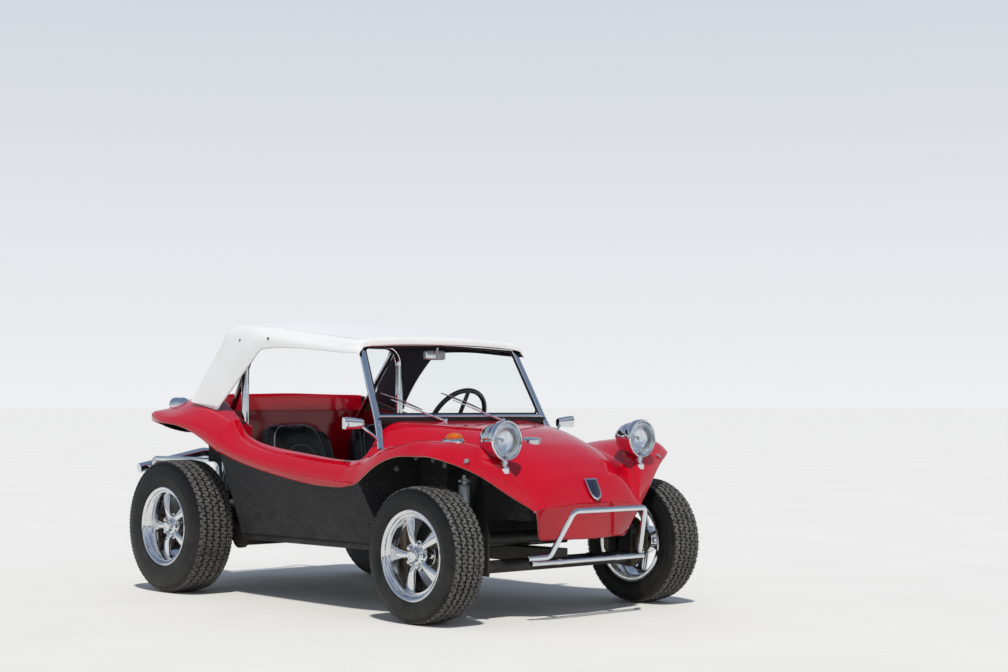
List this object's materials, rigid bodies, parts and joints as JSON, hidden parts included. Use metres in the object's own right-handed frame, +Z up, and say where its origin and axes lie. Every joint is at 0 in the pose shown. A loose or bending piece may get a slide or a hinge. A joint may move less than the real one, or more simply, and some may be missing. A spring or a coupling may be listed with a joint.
{
  "type": "dune buggy",
  "caption": "Open two-seat dune buggy: flared fibreglass tub on a short rear-engined floor pan, round lamps on stems, soft top, wheels that turn and steer.",
  "frame": {"origin": "on the ground under the middle of the car's box", "axes": "+X forward, +Y to the car's left, +Z up"},
  "size_m": [3.23, 1.672, 1.4569],
  "materials": {
    "red_shell": "gloss gel-coated fibreglass",
    "black_tub": "textured black coating on fibreglass",
    "black_steel": "satin black",
    "cast_grey": "cast",
    "link_steel": "satin",
    "black_grip": "satin",
    "wheel_alloy": "polished",
    "tyre_rubber": "matt",
    "engine_alloy": "cast",
    "bright_chrome": "polished",
    "clear_glass": "clear",
    "lamp_glass": "fluted",
    "amber_lens": "moulded",
    "red_lens": "moulded",
    "white_vinyl": "coated cloth",
    "black_vinyl": "grained",
    "silver_paint": "satin",
    "dark_badge": "gloss"
  },
  "bodies": {
    "chassis": {"body_shell": "red_shell", "hood": "red_shell", "tub": "black_tub", "floor_pan": "black_steel", "front_beam": "black_steel", "torsion_housing": "black_steel", "rear_axle": "black_steel", "steering_column": "black_steel", "transaxle": "cast_grey", "engine": "engine_alloy", "fan_shroud": "black_steel", "exhaust": "bright_chrome", "rear_bumper": "bright_chrome", "front_bumper": "bright_chrome", "windshield_frame": "bright_chrome", "windshield_glass": "clear_glass", "soft_top": "white_vinyl", "roll_bar": "bright_chrome", "bucket_seats": "black_vinyl", "headlamp_buckets": "bright_chrome", "headlamp_lenses": "lamp_glass", "dash": "black_tub", "wipers": "link_steel", "mirrors": "bright_chrome", "turn_signal_bases": "bright_chrome", "turn_signal_lenses": "amber_lens", "tail_lamps": "red_lens", "shock_absorbers": "silver_paint", "levers": "link_steel", "pedals": "black_steel", "fuel_cap": "bright_chrome", "shield_plate": "dark_badge"},
    "knuckle_left_body": {"knuckle_left": "cast_grey"},
    "knuckle_right_body": {"knuckle_right": "cast_grey"},
    "front_left_wheel": {"wheel_front_left": "wheel_alloy", "tyre_front_left": "tyre_rubber"},
    "front_right_wheel": {"wheel_front_right": "wheel_alloy", "tyre_front_right": "tyre_rubber"},
    "rear_left_wheel": {"wheel_rear_left": "wheel_alloy", "tyre_rear_left": "tyre_rubber"},
    "rear_right_wheel": {"wheel_rear_right": "wheel_alloy", "tyre_rear_right": "tyre_rubber"},
    "steering_wheel_body": {"steering_wheel": "black_grip"},
    "pitman_body": {"pitman_arm": "link_steel"},
    "tie_rod_left_body": {"tie_rod_left": "link_steel"},
    "tie_rod_right_body": {"tie_rod_right": "link_steel"}
  },
  "joints": [
    {"name": "steer_left", "type": "hinge", "parent": "chassis", "child": "knuckle_left_body", "pos_m": [1.131, 0.59, 0.312], "axis": [0, 0, 1], "range_deg": [-28, 28]},
    {"name": "steer_right", "type": "hinge", "parent": "chassis", "child": "knuckle_right_body", "pos_m": [1.131, -0.59, 0.312], "axis": [0, 0, 1], "range_deg": [-28, 28]},
    {"name": "spin_front_left", "type": "hinge", "parent": "knuckle_left_body", "child": "front_left_wheel", "pos_m": [1.131, 0.721, 0.312], "axis": [0, 1, 0], "continuous": true},
    {"name": "spin_front_right", "type": "hinge", "parent": "knuckle_right_body", "child": "front_right_wheel", "pos_m": [1.131, -0.721, 0.312], "axis": [0, 1, 0], "continuous": true},
    {"name": "spin_rear_left", "type": "hinge", "parent": "chassis", "child": "rear_left_wheel", "pos_m": [-0.901, 0.716, 0.351], "axis": [0, 1, 0], "continuous": true},
    {"name": "spin_rear_right", "type": "hinge", "parent": "chassis", "child": "rear_right_wheel", "pos_m": [-0.901, -0.716, 0.351], "axis": [0, 1, 0], "continuous": true},
    {"name": "steering_wheel_turn", "type": "hinge", "parent": "chassis", "child": "steering_wheel_body", "pos_m": [0.152, 0.33, 0.917], "axis": [-0.866, 0, 0.5], "range_deg": [-392, 392]},
    {"name": "pitman_swing", "type": "hinge", "parent": "chassis", "child": "pitman_body", "pos_m": [1.131, 0.1, 0.352], "axis": [0, 0, 1], "range_deg": [-28, 28]},
    {"name": "tie_rod_left_pivot", "type": "hinge", "parent": "pitman_body", "child": "tie_rod_left_body", "pos_m": [1.021, 0.1, 0.376], "axis": [0, 0, 1], "range_deg": [-28, 28]},
    {"name": "tie_rod_right_pivot", "type": "hinge", "parent": "pitman_body", "child": "tie_rod_right_body", "pos_m": [1.021, 0.1, 0.328], "axis": [0, 0, 1], "range_deg": [-28, 28]}
  ],
  "couplings": [
    {"joint": "steer_right", "follows": "steer_left", "ratio": 1},
    {"joint": "steering_wheel_turn", "follows": "steer_left", "ratio": 14},
    {"joint": "pitman_swing", "follows": "steer_left", "ratio": 1},
    {"joint": "tie_rod_left_pivot", "follows": "steer_left", "ratio": -1},
    {"joint": "tie_rod_right_pivot", "follows": "steer_left", "ratio": -1}
  ]
}
